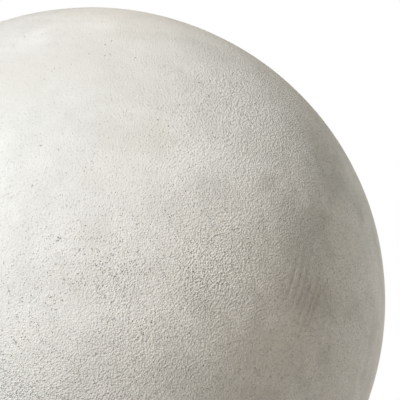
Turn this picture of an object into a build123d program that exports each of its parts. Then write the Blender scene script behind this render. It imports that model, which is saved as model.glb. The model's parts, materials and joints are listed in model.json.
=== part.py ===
"""Ball-shaped stone ground lantern, in millimetres, +Z up, origin on the ground under its centre.

A hollow cast-stone ball stands over a low light unit.  The ball is two cast shells, lapped and
bedded together at the equator and trowelled over with one skim coat.  Its flat rim floats above
the base plate, and the light leaves through that gap.  The ball's weight goes from a stone shelf
inside the mouth, through a steel ring and a rubber gasket, to the seat plate, the pedestal and
the base plate.  The ball lifts straight up off three locating pins.
"""

from build123d import *
import os
from math import atan2, degrees, radians, sqrt, tan

# ---------------------------------------------------------------- stone ball
ball_radius = 250.0
skim_thickness = 4.0
shell_thickness = 18.0
rim_land = 24.0  # width of the flat rim, from the mouth bore to the ball's surface
ring_recess = 14.0  # from the rim up to the underside of the mouth ring
shelf_width = 17.0  # how far the stone shelf stands in from the mouth bore
shelf_thickness = 16.0
lip_fillet = 8.0  # hollow corner between the shelf and the inside of the shell
throat_round = 3.0
mouth_arris = 2.0

# lap joint between the two shells, at the ball's equator
lap_height = 12.0
mortar_thickness = 3.0

# ---------------------------------------------------------------- heights of the stack
foot_height = 4.0
base_thickness = 8.0
light_gap = 20.0  # from the base plate up to the rim
seat_thickness = 6.0
gasket_thickness = 3.0
ring_thickness = 4.0

# ---------------------------------------------------------------- light unit, walls and clearances
driver_clearance = 5.0  # from the driver's far corner to the pedestal's inner wall
pedestal_wall = 4.0
light_space = 12.0  # from the pedestal out to the diffuser
diffuser_wall = 4.0
diffuser_side_clearance = 0.25
groove_depth = 3.0
seal_thickness = 1.5
boss_radius = 8.0
boss_inset = 3.0  # how far each boss runs into the pedestal's wall
seat_overhang = 4.0  # seat plate past the diffuser
seat_chamfer = 1.0
mouth_clearance = 4.0  # mouth bore past the seat plate
gasket_width = 12.0
ring_side_clearance = 0.5
ring_edge = 5.0  # steel left inside the pin holes

# ---------------------------------------------------------------- base plate
anchor_count = 4
anchor_hole_radius = 4.5
anchor_offset = 11.0  # from the diffuser out to the anchor holes' circle
anchor_edge = 11.0  # from that circle out to the plate's edge
base_round = 2.0
foot_count = 4
foot_radius = 9.0
foot_inset = 13.0  # from the plate's edge in to the feet
foot_stem_radius = 3.9
foot_stem_length = 4.5
foot_stem_clearance = 0.1
foot_chamfer = 1.0

# ---------------------------------------------------------------- fasteners
tapped_clearance = 0.05
through_clearance = 0.3
frame_screw_count = 4
frame_screw_radius = 3.0
frame_screw_grip = 8.0  # length of each frame screw inside its boss
ring_screw_count = 6
ring_screw_radius = 2.5
ring_screw_grip = 10.0
ferrule_radius = 5.0
ferrule_length = 12.0
ferrule_bond = 0.1
small_screw_radius = 2.0
small_screw_grip = 3.5
small_hole_depth = 4.5

pin_count = 3
pin_radius = 4.0
pin_hole_clearance = 0.5
pin_throat_clearance = 4.0
pin_reach = 6.0  # above the mouth ring
pin_chamfer = 2.0
pin_first_angle = 45.0

# ---------------------------------------------------------------- electrical pieces
strip_height = 10.0
strip_thickness = 0.4
chip_count = 48
chip_size = 2.8
chip_thickness = 0.9

cable_bore_radius = 5.0
grommet_neck_radius = 10.0
grommet_flange_radius = 13.0
grommet_flange_thickness = 2.0

driver_length = 78.0
driver_width = 36.0
driver_height = 18.0
driver_gap = 3.0  # from the grommet to the driver
driver_round = 3.0
ear_length = 8.0
ear_width = 14.0
ear_thickness = 3.0

terminal_length = 32.0
terminal_width = 18.0
terminal_height = 14.0
terminal_gap = 6.0  # from the grommet to the terminal block
terminal_round = 1.0
terminal_pitch = 18.0
terminal_floor = 3.5  # plastic under the mounting screw's head
terminal_well_radius = 2.4
terminal_well_depth = 4.0
terminal_port_radius = 1.9
terminal_port_depth = 5.0
terminal_port_height = 5.0

lead_radius = 1.2
lead_hole_clearance = 0.6
lead_port_depth = 3.0
lead_end_gap = 0.02  # keeps a lead's flat end off the curved strip
lead_boss_gap = 4.0
lead_driver_corner = 7.0
lead_terminal_corner = 11.0
lead_outlet_run = 8.0
arc_share = 0.45  # of the shorter run, which each arc may take

vent_radius = 6.0
vent_clearance = 0.1
vent_gap = 14.0  # from the terminal block to the vent
vent_head_radius = 8.5
vent_head_height = 2.4
vent_nut_height = 4.0
vent_thread_spare = 1.5
vent_air_radius = 1.2

# ---------------------------------------------------------------- heights that follow from those sizes
base_underside = foot_height
base_top = base_underside + base_thickness
rim_z = base_top + light_gap
ring_underside = rim_z + ring_recess
shelf_underside = ring_underside + ring_thickness
shelf_top = shelf_underside + shelf_thickness
gasket_underside = ring_underside - gasket_thickness
seat_underside = gasket_underside - seat_thickness
strip_middle = (base_top + seat_underside) / 2
lead_z = strip_middle - strip_height / 4

# ---------------------------------------------------------------- places and radii that follow, from the inside out
driver_y = grommet_flange_radius + driver_gap + driver_width / 2
driver_screw_x = (driver_length + ear_length) / 2
terminal_y = -(grommet_flange_radius + terminal_gap + terminal_width / 2)
vent_x = -(terminal_length / 2 + vent_gap + vent_head_radius)
vent_y = terminal_y

pedestal_inner_radius = sqrt((driver_length / 2) ** 2 + (driver_y + driver_width / 2) ** 2) + driver_clearance
pedestal_radius = pedestal_inner_radius + pedestal_wall
boss_circle = pedestal_inner_radius + boss_inset - boss_radius
diffuser_inner_radius = pedestal_radius + light_space
diffuser_radius = diffuser_inner_radius + diffuser_wall
anchor_circle = diffuser_radius + anchor_offset
base_radius = anchor_circle + anchor_edge
foot_circle = base_radius - foot_inset
seat_radius = diffuser_radius + seat_overhang
gasket_radius = seat_radius - seat_chamfer
mouth_radius = seat_radius + mouth_clearance
rim_radius = mouth_radius + rim_land
throat_radius = mouth_radius - shelf_width
pin_circle = throat_radius - pin_throat_clearance - pin_radius
ring_inner_radius = pin_circle - pin_radius - pin_hole_clearance - ring_edge
ring_outer_radius = mouth_radius - ring_side_clearance
ring_screw_circle = (mouth_radius + throat_radius) / 2

lead_run_x = boss_circle - boss_radius - lead_boss_gap
lead_outlet_x = -(driver_length / 2 + lead_outlet_run)
led_lead_angle = degrees(atan2(driver_y, lead_outlet_x))

ball_centre_z = rim_z + sqrt(ball_radius**2 - rim_radius**2)
cast_radius = ball_radius - skim_thickness
hollow_radius = cast_radius - shell_thickness
lap_radius = (cast_radius + hollow_radius) / 2
beyond = 2 * ball_radius  # larger than anything it cuts


# ---------------------------------------------------------------- small helpers
def cylinder(radius, low, high):
    """A disc or rod about the Z axis, from low to high."""
    return Pos(0, 0, low) * Cylinder(radius, high - low, align=(Align.CENTER, Align.CENTER, Align.MIN))


def tube(outer, inner, low, high):
    """A ring about the Z axis, from low to high."""
    return cylinder(outer, low, high) - cylinder(inner, low - 1, high + 1)


def block(length, width, low, high):
    """A box centred on the Z axis, from low to high."""
    return Pos(0, 0, low) * Box(length, width, high - low, align=(Align.CENTER, Align.CENTER, Align.MIN))


def hexagon(radius, low, high):
    """A six-sided prism about the Z axis, from low to high."""
    return Pos(0, 0, low) * extrude(RegularPolygon(radius, 6), high - low)


def sphere(radius):
    """A ball about the stone ball's own centre."""
    return Pos(0, 0, ball_centre_z) * Sphere(radius)


def around(shape, radius, count, first_angle=0.0):
    """Copies of a shape, evenly spaced on a circle about the Z axis."""
    step = 360.0 / count
    return [Rot(0, 0, first_angle + step * i) * Pos(radius, 0, 0) * shape for i in range(count)]


def cut_all(body, cutters):
    """The body with each cutter taken away."""
    for cutter in cutters:
        body = body - cutter
    return body


def flipped(shape):
    """A shape that points the other way along Z."""
    return Rot(180, 0, 0) * shape


def circle_edges(shape, radius, height):
    """A shape's round edges of one radius, about the Z axis, at one height."""
    rings = shape.edges().filter_by(GeomType.CIRCLE)
    level = [ring for ring in rings if abs(ring.arc_center.Z - height) < 0.01]
    return [ring for ring in level if abs(ring.radius - radius) < 0.01]


def socket(radius, top):
    """The hexagonal key hole of a screw, down from its head's top."""
    return hexagon(0.9 * radius, top - 0.9 * radius, top + 1)


def countersunk_screw(radius, length):
    """A flat-headed screw, its head's top at z = 0 and its shank hanging down."""
    shank = chamfer(cylinder(radius, -length, 0).edges().sort_by(Axis.Z)[0], 0.3 * radius)
    head = Pos(0, 0, -radius / 2) * Cone(radius, 2 * radius, radius)
    return shank + head - socket(radius, 0)


def countersink(radius, depth):
    """What a flat-headed screw's plain hole takes away, down from a face at z = 0."""
    seat = Pos(0, 0, -radius / 2) * Cone(radius, 2 * radius, radius)
    return cylinder(radius + through_clearance, -depth, 1) + seat


def pan_screw(radius, length):
    """A round-headed screw, its head standing on z = 0 and its shank hanging down."""
    head_height = 1.2 * radius
    head = fillet(cylinder(1.8 * radius, 0, head_height).edges().sort_by(Axis.Z)[-1], 0.4 * radius)
    return head + cylinder(radius, -length, 0.1) - socket(radius, head_height)


def lead(name, points):
    """A round lead along straight runs, joined by arcs as large as the runs allow."""
    corners = [Vector(*point) for point in points]
    runs = [after - before for before, after in zip(corners, corners[1:])]
    radii = []
    for before, after in zip(runs, runs[1:]):
        half_turn = radians(before.get_angle(after)) / 2
        radii.append(arc_share * min(before.length, after.length) / tan(half_turn))
    print(name, "arc radii", [round(radius, 1) for radius in radii])
    path = FilletPolyline(*corners, radius=radii)
    return sweep(Plane(origin=path @ 0, z_dir=path % 0) * Circle(lead_radius), path=path)


# ---------------------------------------------------------------- the stone ball
def lower_side():
    """All that is under the lapped joint, with the inner half of the wall up to the joint's top."""
    foot_of_lap = ball_centre_z - (lap_height + mortar_thickness) / 2
    top_of_lap = ball_centre_z + (lap_height - mortar_thickness) / 2
    inner_half = cylinder(lap_radius - mortar_thickness / 2, foot_of_lap - 1, top_of_lap)
    return cylinder(beyond, -beyond, foot_of_lap) + inner_half


def upper_side():
    """All that is over the lapped joint, with the outer half of the wall down to the joint's foot."""
    foot_of_lap = ball_centre_z - (lap_height - mortar_thickness) / 2
    top_of_lap = ball_centre_z + (lap_height + mortar_thickness) / 2
    outer_half = tube(beyond, lap_radius + mortar_thickness / 2, foot_of_lap, top_of_lap + 1)
    return cylinder(beyond, top_of_lap, beyond) + outer_half


def cast_wall():
    """The wall of both shells together, before the joint parts it."""
    return sphere(cast_radius) - sphere(hollow_radius)


def make_skim_coat():
    """The trowelled outer coat, one skin over both shells, ending level with the rim."""
    return sphere(ball_radius) - sphere(cast_radius) - cylinder(beyond, -beyond, rim_z)


def make_upper_shell():
    """The upper casting: a plain half ball with the outer half of the lap."""
    return cast_wall() & upper_side()


def make_lower_shell():
    """The lower casting: the other half ball, with the thick lip, the shelf and the mouth."""
    lip = sphere(cast_radius) & cylinder(beyond, rim_z, shelf_top)
    shell = (cast_wall() & lower_side()) + lip - cylinder(beyond, -beyond, rim_z)
    shell = shell - cylinder(throat_radius, rim_z - 1, shelf_top + 1)
    corner_radius = sqrt(hollow_radius**2 - (ball_centre_z - shelf_top) ** 2)
    shell = fillet(circle_edges(shell, throat_radius, shelf_top), throat_round)
    shell = fillet(circle_edges(shell, corner_radius, shelf_top), lip_fillet)
    shell = shell - cylinder(mouth_radius, rim_z - 1, shelf_underside)
    shell = chamfer(circle_edges(shell, mouth_radius, rim_z), mouth_arris)
    pocket_top = shelf_underside + ferrule_length + ferrule_bond
    pocket = cylinder(ferrule_radius + ferrule_bond, shelf_underside - 1, pocket_top)
    return cut_all(shell, around(pocket, ring_screw_circle, ring_screw_count))


def make_joint_mortar():
    """The stepped bed of mortar that fills the lap between the two castings."""
    band = cylinder(beyond, ball_centre_z - lap_height, ball_centre_z + lap_height)
    return (cast_wall() & band) - lower_side() - upper_side()


def make_mouth_ring():
    """The steel ring bonded and screwed under the stone shelf, with holes for the locating pins."""
    ring = tube(ring_outer_radius, ring_inner_radius, ring_underside, shelf_underside)
    pin_hole = cylinder(pin_radius + pin_hole_clearance, ring_underside - 1, shelf_underside + 1)
    ring = cut_all(ring, around(pin_hole, pin_circle, pin_count, pin_first_angle))
    seat = Pos(0, 0, ring_underside) * flipped(countersink(ring_screw_radius, 2 * ring_thickness))
    return cut_all(ring, around(seat, ring_screw_circle, ring_screw_count))


def make_ring_ferrules():
    """Brass sockets cast into the stone shelf, which the ring's screws pull on."""
    top = shelf_underside + ferrule_length
    ferrule = tube(ferrule_radius, ring_screw_radius + tapped_clearance, shelf_underside, top)
    return around(ferrule, ring_screw_circle, ring_screw_count)


def make_ring_screws():
    """Flat-headed screws from below, flush with the ring's underside."""
    screw = countersunk_screw(ring_screw_radius, ring_thickness + ring_screw_grip)
    return around(Pos(0, 0, ring_underside) * flipped(screw), ring_screw_circle, ring_screw_count)


# ---------------------------------------------------------------- the base and the light unit
def diffuser_groove(low, high):
    """The ring-shaped groove that takes one end of the diffuser."""
    outer = diffuser_radius + diffuser_side_clearance
    inner = diffuser_inner_radius - diffuser_side_clearance
    return tube(outer, inner, low, high)


def driver_screw_places():
    """Where the driver's two ears are screwed down."""
    return [Pos(side * driver_screw_x, driver_y, 0) for side in (-1, 1)]


def terminal_screw_place():
    """Where the terminal block is screwed down, in its middle."""
    return Pos(0, terminal_y, 0)


def make_base_plate():
    """The cast plate that everything stands on, with anchor, cable, vent, foot and screw holes."""
    below = base_underside - 1
    above = base_top + 1
    plate = cylinder(base_radius, base_underside, base_top)
    plate = fillet(plate.edges().group_by(Axis.Z)[-1], base_round)
    plate = plate - diffuser_groove(base_top - groove_depth, above)
    anchor = cylinder(anchor_hole_radius, below, above)
    plate = cut_all(plate, around(anchor, anchor_circle, anchor_count))
    stem_top = base_underside + foot_stem_length + foot_stem_clearance
    stem = cylinder(foot_stem_radius + foot_stem_clearance, below, stem_top)
    plate = cut_all(plate, around(stem, foot_circle, foot_count, 180.0 / foot_count))
    seat = Pos(0, 0, base_underside) * flipped(countersink(frame_screw_radius, 2 * base_thickness))
    plate = cut_all(plate, around(seat, boss_circle, frame_screw_count))
    plate = plate - cylinder(grommet_neck_radius, below, above)
    plate = plate - Pos(vent_x, vent_y, 0) * cylinder(vent_radius + vent_clearance, below, above)
    tapped = cylinder(small_screw_radius + tapped_clearance, base_top - small_hole_depth, above)
    places = driver_screw_places() + [terminal_screw_place()]
    return cut_all(plate, [place * tapped for place in places])


def make_rubber_feet():
    """Push-in rubber feet, which the lantern stands on."""
    pad = chamfer(cylinder(foot_radius, 0, foot_height).edges().group_by(Axis.Z)[0], foot_chamfer)
    foot = pad + cylinder(foot_stem_radius, foot_height - 1, foot_height + foot_stem_length)
    return around(foot, foot_circle, foot_count, 180.0 / foot_count)


def make_pedestal():
    """The tube that carries the ball and cools the LEDs, with a screw boss at each quarter."""
    body = tube(pedestal_radius, pedestal_inner_radius, base_top, seat_underside)
    within = cylinder(pedestal_inner_radius + 1, base_top, seat_underside)
    for boss in around(cylinder(boss_radius, base_top, seat_underside), boss_circle, frame_screw_count):
        body = body + (boss & within)
    tapped = cylinder(frame_screw_radius + tapped_clearance, base_top - 1, seat_underside + 1)
    body = cut_all(body, around(tapped, boss_circle, frame_screw_count))
    lead_hole = cylinder(lead_radius + lead_hole_clearance, pedestal_inner_radius - 2, pedestal_radius + 1)
    return body - Rot(0, 0, led_lead_angle) * Pos(0, 0, lead_z) * Rot(0, 90, 0) * lead_hole


def make_base_screws():
    """Screws from below, through the base plate into the pedestal's bosses."""
    screw = countersunk_screw(frame_screw_radius, base_thickness + frame_screw_grip)
    return around(Pos(0, 0, base_underside) * flipped(screw), boss_circle, frame_screw_count)


def make_seat_plate():
    """The steel plate on top of the light unit, which takes the ball's weight."""
    plate = cylinder(seat_radius, seat_underside, gasket_underside)
    plate = chamfer(plate.edges().group_by(Axis.Z)[-1], seat_chamfer)
    plate = plate - diffuser_groove(seat_underside - 1, seat_underside + groove_depth)
    seat = Pos(0, 0, gasket_underside) * countersink(frame_screw_radius, 2 * seat_thickness)
    plate = cut_all(plate, around(seat, boss_circle, frame_screw_count))
    pin_hole = cylinder(pin_radius, seat_underside - 1, gasket_underside + 1)
    return cut_all(plate, around(pin_hole, pin_circle, pin_count, pin_first_angle))


def make_seat_screws():
    """Screws from above, through the seat plate into the pedestal's bosses."""
    screw = countersunk_screw(frame_screw_radius, seat_thickness + frame_screw_grip)
    return around(Pos(0, 0, gasket_underside) * screw, boss_circle, frame_screw_count)


def make_seat_gasket():
    """The rubber ring that the mouth ring rests on."""
    return tube(gasket_radius, gasket_radius - gasket_width, gasket_underside, ring_underside)


def make_locating_pins():
    """Steel pins pressed into the seat plate, which centre the ball and stop it turning."""
    pin = cylinder(pin_radius, seat_underside, shelf_underside + pin_reach)
    pin = chamfer(pin.edges().group_by(Axis.Z)[-1], pin_chamfer)
    return around(pin, pin_circle, pin_count, pin_first_angle)


def make_diffuser():
    """The opal tube that the light leaves through."""
    low = base_top - groove_depth + seal_thickness
    high = seat_underside + groove_depth - seal_thickness
    return tube(diffuser_radius, diffuser_inner_radius, low, high)


def make_lower_seal():
    """The flat rubber seal under the diffuser."""
    low = base_top - groove_depth
    return tube(diffuser_radius, diffuser_inner_radius, low, low + seal_thickness)


def make_upper_seal():
    """The flat rubber seal over the diffuser."""
    high = seat_underside + groove_depth
    return tube(diffuser_radius, diffuser_inner_radius, high - seal_thickness, high)


def make_led_strip():
    """The flexible circuit stuck round the pedestal."""
    low = strip_middle - strip_height / 2
    return tube(pedestal_radius + strip_thickness, pedestal_radius, low, low + strip_height)


def make_led_chips():
    """The LEDs on the strip."""
    chip = Pos(0, 0, strip_middle) * Box(chip_thickness, chip_size, chip_size)
    chip_circle = pedestal_radius + strip_thickness + chip_thickness / 2
    return around(chip, chip_circle, chip_count, 180.0 / chip_count)


def lead_port():
    """The blind hole that takes a lead's end, along X, open at x = 0 on either side."""
    return Pos(0, 0, lead_z) * Rot(0, 90, 0) * Cylinder(lead_radius + tapped_clearance, 2 * lead_port_depth)


def make_driver():
    """The sealed LED power supply, with a mounting ear at each end."""
    case = block(driver_length, driver_width, base_top, base_top + driver_height)
    case = fillet(case.edges().filter_by(Axis.Z), driver_round)
    case = fillet(case.faces().sort_by(Axis.Z)[-1].edges(), driver_round / 2)
    ears = block(driver_length + 2 * ear_length, ear_width, base_top, base_top + ear_thickness)
    driver = Pos(0, driver_y, 0) * (case + fillet(ears.edges().filter_by(Axis.Z), driver_round))
    hole = cylinder(small_screw_radius + through_clearance, base_top - 1, base_top + ear_thickness + 1)
    driver = cut_all(driver, [place * hole for place in driver_screw_places()])
    ends = [Pos(side * driver_length / 2, driver_y, 0) for side in (-1, 1)]
    return cut_all(driver, [end * lead_port() for end in ends])


def make_driver_screws():
    """Two round-headed screws through the driver's ears."""
    screw = Pos(0, 0, base_top + ear_thickness) * pan_screw(small_screw_radius, ear_thickness + small_screw_grip)
    return [place * screw for place in driver_screw_places()]


def make_terminal_block():
    """The block where the supply cable meets the lead, with a clamp well and two ports for each pole."""
    top = base_top + terminal_height
    body = block(terminal_length, terminal_width, base_top, top)
    body = fillet(body.edges().filter_by(Axis.Z), terminal_round)
    well = cylinder(terminal_well_radius, top - terminal_well_depth, top + 1)
    port = Rot(90, 0, 0) * Cylinder(terminal_port_radius, 2 * terminal_port_depth)
    port_z = base_top + terminal_port_height
    for x in (-terminal_pitch / 2, terminal_pitch / 2):
        for side in (-1, 1):
            body = body - Pos(x, side * terminal_width / 4, 0) * well
            body = body - Pos(x, side * terminal_width / 2, port_z) * port
    floor = base_top + terminal_floor
    body = body - cylinder(small_screw_radius + through_clearance, base_top - 1, top + 1)
    body = body - cylinder(2 * small_screw_radius, floor, top + 1)
    body = body - Pos(terminal_length / 2, 0, 0) * lead_port()
    return terminal_screw_place() * body


def make_terminal_screw():
    """The round-headed screw down through the terminal block."""
    screw = pan_screw(small_screw_radius, terminal_floor + small_screw_grip)
    return terminal_screw_place() * Pos(0, 0, base_top + terminal_floor) * screw


def make_supply_lead():
    """The lead from the terminal block, past a boss, round to the driver's inlet."""
    points = [
        (driver_length / 2 - lead_port_depth, driver_y, lead_z),
        (lead_run_x - lead_driver_corner, driver_y, lead_z),
        (lead_run_x, driver_y - lead_driver_corner, lead_z),
        (lead_run_x, terminal_y + lead_terminal_corner, lead_z),
        (lead_run_x - lead_terminal_corner, terminal_y, lead_z),
        (terminal_length / 2 - lead_port_depth, terminal_y, lead_z),
    ]
    return lead("supply_lead", points)


def make_led_lead():
    """The lead from the driver's outlet, straight out through the pedestal's wall to the LED strip."""
    strip_end = Vector(pedestal_radius - lead_end_gap, 0, lead_z).rotate(Axis.Z, led_lead_angle)
    points = [
        (lead_port_depth - driver_length / 2, driver_y, lead_z),
        (lead_outlet_x, driver_y, lead_z),
        (strip_end.X, strip_end.Y, lead_z),
    ]
    return lead("led_lead", points)


def make_cable_grommet():
    """The rubber grommet that the supply cable comes up through."""
    low = base_underside - grommet_flange_thickness
    high = base_top + grommet_flange_thickness
    body = cylinder(grommet_neck_radius, base_underside, base_top)
    body = body + cylinder(grommet_flange_radius, low, base_underside)
    body = body + cylinder(grommet_flange_radius, base_top, high)
    return body - cylinder(cable_bore_radius, low - 1, high + 1)


def make_vent_plug():
    """The breather that lets the light unit's air in and out but keeps water out."""
    head_low = base_underside - vent_head_height
    thread_top = base_top + vent_nut_height + vent_thread_spare
    plug = hexagon(vent_head_radius, head_low, base_underside)
    plug = plug + cylinder(vent_radius, base_underside - 0.1, thread_top)
    return Pos(vent_x, vent_y, 0) * (plug - cylinder(vent_air_radius, head_low - 1, thread_top + 1))


def make_vent_nut():
    """The nut that holds the breather."""
    top = base_top + vent_nut_height
    nut = hexagon(vent_head_radius, base_top, top)
    return Pos(vent_x, vent_y, 0) * (nut - cylinder(vent_radius + tapped_clearance, base_top - 1, top + 1))


# ---------------------------------------------------------------- writing the files
def write(name, made):
    """One STEP file for a piece, or for a list of identical pieces."""
    if isinstance(made, list):
        made = Compound(children=[solid for piece in made for solid in piece.solids()])
    export_step(made, f"parts/{name}.step")


def main():
    os.makedirs("parts", exist_ok=True)
    write("skim_coat", make_skim_coat())
    write("upper_shell", make_upper_shell())
    write("lower_shell", make_lower_shell())
    write("joint_mortar", make_joint_mortar())
    write("mouth_ring", make_mouth_ring())
    write("ring_ferrules", make_ring_ferrules())
    write("ring_screws", make_ring_screws())
    write("base_plate", make_base_plate())
    write("rubber_feet", make_rubber_feet())
    write("pedestal", make_pedestal())
    write("base_screws", make_base_screws())
    write("seat_plate", make_seat_plate())
    write("seat_screws", make_seat_screws())
    write("seat_gasket", make_seat_gasket())
    write("locating_pins", make_locating_pins())
    write("diffuser", make_diffuser())
    write("lower_seal", make_lower_seal())
    write("upper_seal", make_upper_seal())
    write("led_strip", make_led_strip())
    write("led_chips", make_led_chips())
    write("driver", make_driver())
    write("driver_screws", make_driver_screws())
    write("terminal_block", make_terminal_block())
    write("terminal_screw", make_terminal_screw())
    write("supply_lead", make_supply_lead())
    write("led_lead", make_led_lead())
    write("cable_grommet", make_cable_grommet())
    write("vent_plug", make_vent_plug())
    write("vent_nut", make_vent_nut())


if __name__ == "__main__":
    main()
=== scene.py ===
"""The stone ball lantern's looks: a hand-trowelled skin, every material, the camera and the lights.

Everything is in metres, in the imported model's own frame.  The stone ball's outer coat is built
here as one dense closed skin, whose unevenness, trowel scores and open pores are real geometry.
The other parts keep their CAD shapes and get procedural materials.
"""

import itertools
import json
import math

import bpy
import numpy as np
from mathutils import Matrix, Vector


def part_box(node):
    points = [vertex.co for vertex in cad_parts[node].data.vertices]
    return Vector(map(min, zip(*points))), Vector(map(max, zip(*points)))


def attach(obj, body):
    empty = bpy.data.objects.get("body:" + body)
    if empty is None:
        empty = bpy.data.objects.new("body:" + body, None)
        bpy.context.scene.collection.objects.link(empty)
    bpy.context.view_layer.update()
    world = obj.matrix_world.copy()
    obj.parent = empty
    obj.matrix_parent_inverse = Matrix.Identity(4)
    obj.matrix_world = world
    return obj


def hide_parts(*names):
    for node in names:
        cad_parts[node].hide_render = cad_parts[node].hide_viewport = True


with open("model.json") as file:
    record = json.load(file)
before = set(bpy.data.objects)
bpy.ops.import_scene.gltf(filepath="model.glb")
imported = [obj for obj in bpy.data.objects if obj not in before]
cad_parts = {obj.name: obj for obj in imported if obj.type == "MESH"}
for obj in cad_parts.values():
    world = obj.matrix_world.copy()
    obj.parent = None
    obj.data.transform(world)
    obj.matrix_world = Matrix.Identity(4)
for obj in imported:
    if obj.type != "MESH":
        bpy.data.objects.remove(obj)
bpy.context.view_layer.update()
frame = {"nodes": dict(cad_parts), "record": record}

# ---------------------------------------------------------------- sizes read from the frame
skin_low, skin_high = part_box("skim_coat")
cast_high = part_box("upper_shell")[1]
BALL_RADIUS = (skin_high.x - skin_low.x) / 2
BALL_CENTRE = np.array((0.0, 0.0, skin_high.z - BALL_RADIUS))
RIM_Z = skin_low.z
CAST_RADIUS = cast_high.z - BALL_CENTRE[2]

# ---------------------------------------------------------------- the skin's mesh
SIDE = 360  # quads along one side of each cube face that the skin's grid is wrapped from
RIM_ROWS = 86  # rows from the cube's lower edge down to the rim
MARGIN = 0.00008  # the skin's highest point stays this far inside the CAD ball
ARRIS = 0.0012  # height of the worn corner between the ball and its flat rim
WORN_CORNER = ((1.5, 0.30), (2.6, 0.0))  # the corner's rows: (inward, up from the rim), in arrises
INNER_ROWS = 18  # rows of the plain inner face, which is never seen
COARSE = 90  # the inner face halves its columns on the way up until it has this many

# The skin's texture sheet has 3 by 2 cells: the band's four quarters, the cap and the inner face.
CELL = (1 / 3, 1 / 2)
CHART = 0.30  # a cube face's width in its cell
CHART_TOP = 0.98  # where the upper row of cube faces starts
RIM_FALL = (1.8, 3.6, 9.0)  # how far the rim's rows lie below the band's last there, in quads
INNER_DISC = 0.15  # a whole inner ball would be drawn as a disc of this radius in its cell
FIRST_COLUMN = -3 * math.pi / 4  # angle round the axis of the band's first column

# ---------------------------------------------------------------- the hand work on the skin
# Layers of soft noise: width in metres, strength, seed.
HILLS = ((0.150, 0.00055, 31), (0.052, 0.00013, 32), (0.017, 0.000035, 33))
SAND = (0.0048, 0.000010, 41)
GRAIN_DRIFT = (0.10, 0.30, 51)
BROAD_DARK = (0.070, 0.15, 61)
FINE_DARK = ((0.024, 0.16, 62), (0.009, 0.10, 66))
CLOUDS = ((0.046, 2.5, 67), (0.013, 0.9, 68))
BROAD_WARM = (0.085, 0.35, 63)
FINE_WARM = (0.028, 0.12, 64)
RAGGED_EDGE = (0.020, 0.5, 65)

CLOUD_QUIET, CLOUD_BLOTCHY = -0.08, 0.18  # strength of the clouds, and how it grows with blotchiness
GRIT = 0.000030  # height of the finest grain, one random step for each point of the mesh
GRIT_EVEN, GRIT_VOIDS = 0.8, 0.9  # share of its even steps, and of its rarer deep ones
GRIT_CONTRAST = 0.24  # share of each neighbour's step that is taken away
GRIT_SEED = 45
PATCH_EDGE = 1.6  # a patch's angle, in standard deviations of its soft edge
GRAIN_USUAL, GRAIN_LEAST, GRAIN_MOST = 0.85, 0.1, 1.6
DEEP_SCORE = 0.00025  # a trowel score this deep is darkened fully

# Stroke groups all over the ball: how many, and the limits between which each value is drawn.
MORE_STROKES = 70
STROKE_SWEEP = (0.12, 0.34)  # length of the group, in ball radii
STROKE_SPACING = (0.0034, 0.0065)
STROKE_NUMBER = (2, 7)
STROKE_DEPTH = (0.00002, 0.00006)
STROKE_BEND = (-0.10, 0.10)
STROKE_REACH = 0.75  # how far from its middle a group is looked for, in its own lengths
STROKE_SEEDS = (11, 12)

# Limits for each stroke of a group.
STROKE_PLACE = (0.85, 1.15)  # distance from the group's middle, in its even share
STROKE_SHIFT = (-0.25, 0.25)  # along the group, in half lengths
STROKE_LENGTH = (0.6, 1.0)  # in half lengths of the group
STROKE_WIDTH = (0.22, 0.36)  # in spacings
STROKE_PRESS = (0.5, 1.0)  # in depths of the group

# Pore groups all over the ball, in the same way, and then the pores.
MORE_PORES = 60
PORE_SPREAD = (1.5, 9)  # degrees
PORE_NUMBER = (3, 15)
PORE_GAP = 0.0023  # pores closer than this to another are left out
PORE_MOUTH = (0.60, 0.98)  # width of a pore's mouth, in quads
PORE_FLOOR = 0.6  # width of its floor, in mouths
PORE_DEPTH = (0.0005, 0.0012)
PORE_LIP_SHADE = 0.12  # painted shade on the skin round a pore's mouth; it is 1 inside the pore
PORE_SEEDS = (21, 22)


def front(right, up):
    """A direction from the ball's centre, by where it is seen from the front, in ball radii."""
    return np.array((right, -math.sqrt(1 - right**2 - up**2), up))


def around(azimuth, elevation):
    """A direction from the ball's centre, azimuth 0 to the front and 90 to the right, in degrees."""
    turn, lift = math.radians(azimuth), math.radians(elevation)
    flat = math.cos(lift)
    return np.array((math.sin(turn) * flat, -math.cos(turn) * flat, math.sin(lift)))


def unit(vectors):
    """The same directions with length 1."""
    return vectors / np.linalg.norm(vectors, axis=-1, keepdims=True)


# Where the trowel left the skin smooth (below 1) or open and sandy (above 1): place, angle, grain.
GRAIN_PATCHES = (
    (front(-0.10, 0.72), 26, 0.20),
    (front(0.12, 0.90), 20, 0.30),
    (front(-0.20, 0.45), 16, 0.45),
    (front(0.10, 0.52), 15, 0.45),
    (front(0.40, 0.38), 12, 0.75),
    (front(0.85, 0.05), 22, 1.20),
    (front(0.88, 0.32), 14, 1.10),
    (front(0.72, -0.35), 20, 1.10),
    (front(-0.05, -0.15), 18, 0.75),
    (front(0.30, -0.28), 14, 1.30),
    (front(0.15, -0.28), 10, 1.35),
    (front(-0.20, -0.30), 12, 1.50),
    (front(0.00, -0.30), 9, 1.25),
    (front(0.15, -0.10), 8, 1.15),
    (front(0.42, 0.12), 9, 1.60),
    (front(0.12, 0.10), 7, 1.20),
    (front(0.50, 0.65), 16, 1.30),
    (around(110, 40), 24, 0.35),
    (around(150, -15), 26, 0.40),
    (around(190, 35), 28, 1.30),
    (around(215, -5), 24, 0.45),
    (around(255, 30), 24, 0.40),
    (around(290, -25), 26, 1.30),
    (around(30, 75), 18, 0.50),
)
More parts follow.
